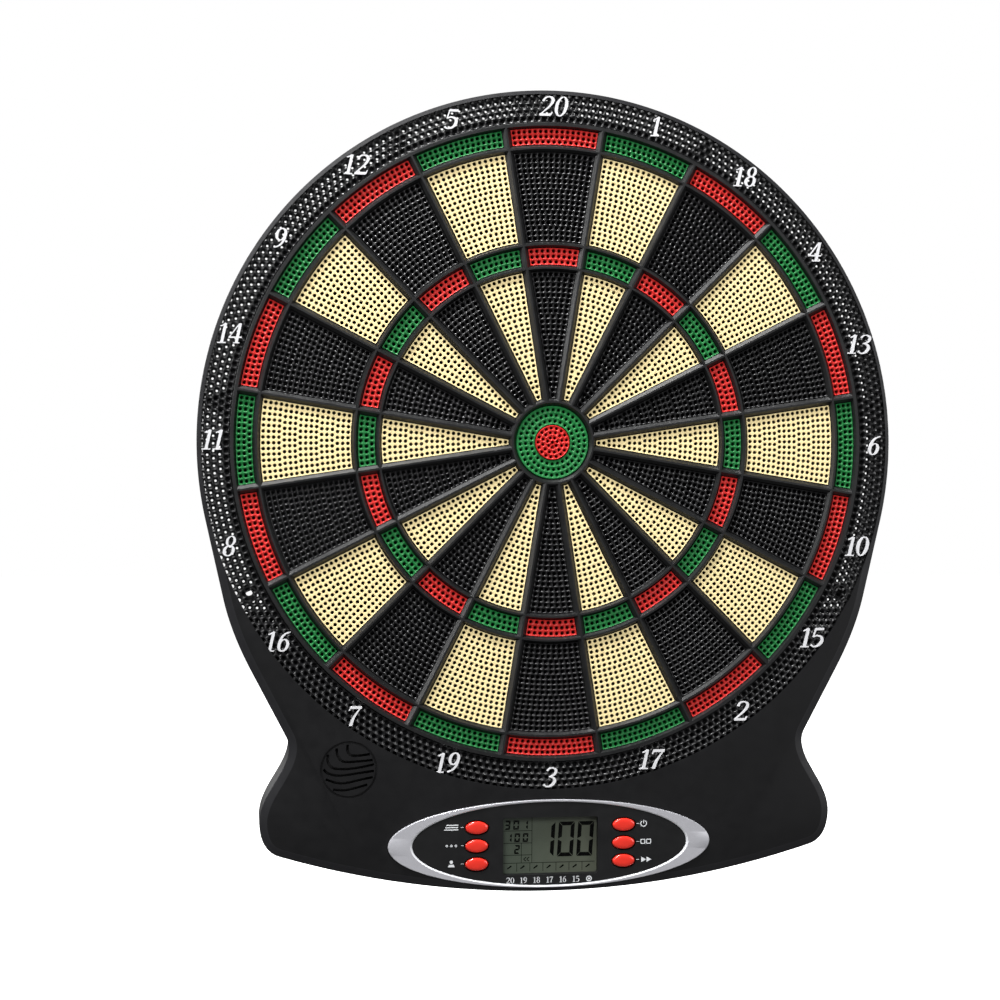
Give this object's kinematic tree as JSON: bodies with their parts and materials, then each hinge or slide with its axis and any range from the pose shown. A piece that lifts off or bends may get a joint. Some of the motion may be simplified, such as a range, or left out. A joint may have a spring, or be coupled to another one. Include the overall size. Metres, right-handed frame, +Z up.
{
  "type": "electronic dartboard",
  "caption": "Round soft-tip electronic dartboard with a number ring, sprung scoring segments, an oval control panel with a display and push buttons, and a battery-powered back.",
  "frame": {"origin": "on the wall plane, straight behind the centre of the bull", "axes": "+X to the right as a player sees the board, +Y from the board into the wall, +Z up, with 20 at the top"},
  "size_m": [0.386, 0.0292, 0.44],
  "materials": {
    "casing_black": "fine spark-eroded matte black moulding",
    "spider_grey": "satin charcoal moulding",
    "segment_black": "satin black moulding",
    "segment_cream": "satin cream moulding",
    "target_red": "satin red moulding",
    "target_green": "satin green moulding",
    "white_print": "white numerals and panel marks",
    "silver_paint": "silver paint on plastic, satin",
    "panel_black": "gloss black overlay",
    "button_red": "satin red keys",
    "clear_window": "clear lens",
    "display_glass": "grey-green liquid crystal cell",
    "rubber_sheet": "black sheet rubber",
    "clear_film": "printed polyester film",
    "hardboard": "pressed hardboard",
    "cell_wrap": "shrink-wrapped cell jacket",
    "nickel_plate": "nickel-plated spring steel",
    "circuit_board": "green solder mask",
    "silicone": "translucent white silicone",
    "speaker_metal": "pressed steel basket and magnet",
    "zinc_screw": "zinc-plated self-tapping screw"
  },
  "bodies": {
    "root": {"front_casing": "casing_black", "spider_frame": "spider_grey", "impact_mat": "rubber_sheet", "switch_membrane": "clear_film", "backing_plate": "hardboard", "rear_cover": "casing_black", "battery_cell_1": "cell_wrap", "battery_spring_1": "nickel_plate", "battery_cell_2": "cell_wrap", "battery_spring_2": "nickel_plate", "battery_cell_3": "cell_wrap", "battery_spring_3": "nickel_plate", "contact_link_left": "nickel_plate", "contact_link_right": "nickel_plate", "contact_terminal_left": "nickel_plate", "contact_terminal_right": "nickel_plate", "control_board": "circuit_board", "display_module": "display_glass", "display_window": "clear_window", "panel_bezel": "silver_paint", "panel_overlay": "panel_black", "button_pad": "silicone", "speaker": "speaker_metal", "cover_screw_1": "zinc_screw", "cover_screw_2": "zinc_screw", "cover_screw_3": "zinc_screw", "cover_screw_4": "zinc_screw", "cover_screw_5": "zinc_screw", "cover_screw_6": "zinc_screw", "cover_screw_7": "zinc_screw", "cover_screw_8": "zinc_screw"},
    "sector_20": {"sector_20": "segment_black"},
    "sector_01": {"sector_01": "segment_cream"},
    "sector_18": {"sector_18": "segment_black"},
    "sector_04": {"sector_04": "segment_cream"},
    "sector_13": {"sector_13": "segment_black"},
    "sector_06": {"sector_06": "segment_cream"},
    "sector_10": {"sector_10": "segment_black"},
    "sector_15": {"sector_15": "segment_cream"},
    "sector_02": {"sector_02": "segment_black"},
    "sector_17": {"sector_17": "segment_cream"},
    "sector_03": {"sector_03": "segment_black"},
    "sector_19": {"sector_19": "segment_cream"},
    "sector_07": {"sector_07": "segment_black"},
    "sector_16": {"sector_16": "segment_cream"},
    "sector_08": {"sector_08": "segment_black"},
    "sector_11": {"sector_11": "segment_cream"},
    "sector_14": {"sector_14": "segment_black"},
    "sector_09": {"sector_09": "segment_cream"},
    "sector_12": {"sector_12": "segment_black"},
    "sector_05": {"sector_05": "segment_cream"},
    "bull_outer": {"bull_outer": "target_green"},
    "bull_inner": {"bull_inner": "target_red"},
    "button_game": {"button_game": "button_red"},
    "button_option": {"button_option": "button_red"},
    "button_player": {"button_player": "button_red"},
    "button_power": {"button_power": "button_red"},
    "button_double": {"button_double": "button_red"},
    "button_start": {"button_start": "button_red"},
    "battery_door": {"battery_door": "casing_black"}
  },
  "joints": [
    {"name": "sector_20_press", "type": "slide", "parent": "root", "child": "sector_20", "axis": [0, 1, 0], "range_m": [0, 0.001], "stiffness_N_per_m": 3000},
    {"name": "sector_01_press", "type": "slide", "parent": "root", "child": "sector_01", "axis": [0, 1, 0], "range_m": [0, 0.001], "stiffness_N_per_m": 3000},
    {"name": "sector_18_press", "type": "slide", "parent": "root", "child": "sector_18", "axis": [0, 1, 0], "range_m": [0, 0.001], "stiffness_N_per_m": 3000},
    {"name": "sector_04_press", "type": "slide", "parent": "root", "child": "sector_04", "axis": [0, 1, 0], "range_m": [0, 0.001], "stiffness_N_per_m": 3000},
    {"name": "sector_13_press", "type": "slide", "parent": "root", "child": "sector_13", "axis": [0, 1, 0], "range_m": [0, 0.001], "stiffness_N_per_m": 3000},
    {"name": "sector_06_press", "type": "slide", "parent": "root", "child": "sector_06", "axis": [0, 1, 0], "range_m": [0, 0.001], "stiffness_N_per_m": 3000},
    {"name": "sector_10_press", "type": "slide", "parent": "root", "child": "sector_10", "axis": [0, 1, 0], "range_m": [0, 0.001], "stiffness_N_per_m": 3000},
    {"name": "sector_15_press", "type": "slide", "parent": "root", "child": "sector_15", "axis": [0, 1, 0], "range_m": [0, 0.001], "stiffness_N_per_m": 3000},
    {"name": "sector_02_press", "type": "slide", "parent": "root", "child": "sector_02", "axis": [0, 1, 0], "range_m": [0, 0.001], "stiffness_N_per_m": 3000},
    {"name": "sector_17_press", "type": "slide", "parent": "root", "child": "sector_17", "axis": [0, 1, 0], "range_m": [0, 0.001], "stiffness_N_per_m": 3000},
    {"name": "sector_03_press", "type": "slide", "parent": "root", "child": "sector_03", "axis": [0, 1, 0], "range_m": [0, 0.001], "stiffness_N_per_m": 3000},
    {"name": "sector_19_press", "type": "slide", "parent": "root", "child": "sector_19", "axis": [0, 1, 0], "range_m": [0, 0.001], "stiffness_N_per_m": 3000},
    {"name": "sector_07_press", "type": "slide", "parent": "root", "child": "sector_07", "axis": [0, 1, 0], "range_m": [0, 0.001], "stiffness_N_per_m": 3000},
    {"name": "sector_16_press", "type": "slide", "parent": "root", "child": "sector_16", "axis": [0, 1, 0], "range_m": [0, 0.001], "stiffness_N_per_m": 3000},
    {"name": "sector_08_press", "type": "slide", "parent": "root", "child": "sector_08", "axis": [0, 1, 0], "range_m": [0, 0.001], "stiffness_N_per_m": 3000},
    {"name": "sector_11_press", "type": "slide", "parent": "root", "child": "sector_11", "axis": [0, 1, 0], "range_m": [0, 0.001], "stiffness_N_per_m": 3000},
    {"name": "sector_14_press", "type": "slide", "parent": "root", "child": "sector_14", "axis": [0, 1, 0], "range_m": [0, 0.001], "stiffness_N_per_m": 3000},
    {"name": "sector_09_press", "type": "slide", "parent": "root", "child": "sector_09", "axis": [0, 1, 0], "range_m": [0, 0.001], "stiffness_N_per_m": 3000},
    {"name": "sector_12_press", "type": "slide", "parent": "root", "child": "sector_12", "axis": [0, 1, 0], "range_m": [0, 0.001], "stiffness_N_per_m": 3000},
    {"name": "sector_05_press", "type": "slide", "parent": "root", "child": "sector_05", "axis": [0, 1, 0], "range_m": [0, 0.001], "stiffness_N_per_m": 3000},
    {"name": "bull_outer_press", "type": "slide", "parent": "root", "child": "bull_outer", "axis": [0, 1, 0], "range_m": [0, 0.001], "stiffness_N_per_m": 3000},
    {"name": "bull_inner_press", "type": "slide", "parent": "root", "child": "bull_inner", "axis": [0, 1, 0], "range_m": [0, 0.001], "stiffness_N_per_m": 3000},
    {"name": "button_game_press", "type": "slide", "parent": "root", "child": "button_game", "axis": [0, 1, 0], "range_m": [0, 0.0008], "stiffness_N_per_m": 900},
    {"name": "button_option_press", "type": "slide", "parent": "root", "child": "button_option", "axis": [0, 1, 0], "range_m": [0, 0.0008], "stiffness_N_per_m": 900},
    {"name": "button_player_press", "type": "slide", "parent": "root", "child": "button_player", "axis": [0, 1, 0], "range_m": [0, 0.0008], "stiffness_N_per_m": 900},
    {"name": "button_power_press", "type": "slide", "parent": "root", "child": "button_power", "axis": [0, 1, 0], "range_m": [0, 0.0008], "stiffness_N_per_m": 900},
    {"name": "button_double_press", "type": "slide", "parent": "root", "child": "button_double", "axis": [0, 1, 0], "range_m": [0, 0.0008], "stiffness_N_per_m": 900},
    {"name": "button_start_press", "type": "slide", "parent": "root", "child": "button_start", "axis": [0, 1, 0], "range_m": [0, 0.0008], "stiffness_N_per_m": 900},
    {"name": "battery_door_hinge", "type": "hinge", "parent": "root", "child": "battery_door", "pos_m": [0, -0.0002, -0.189], "axis": [1, 0, 0], "range_deg": [0, 55]}
  ]
}
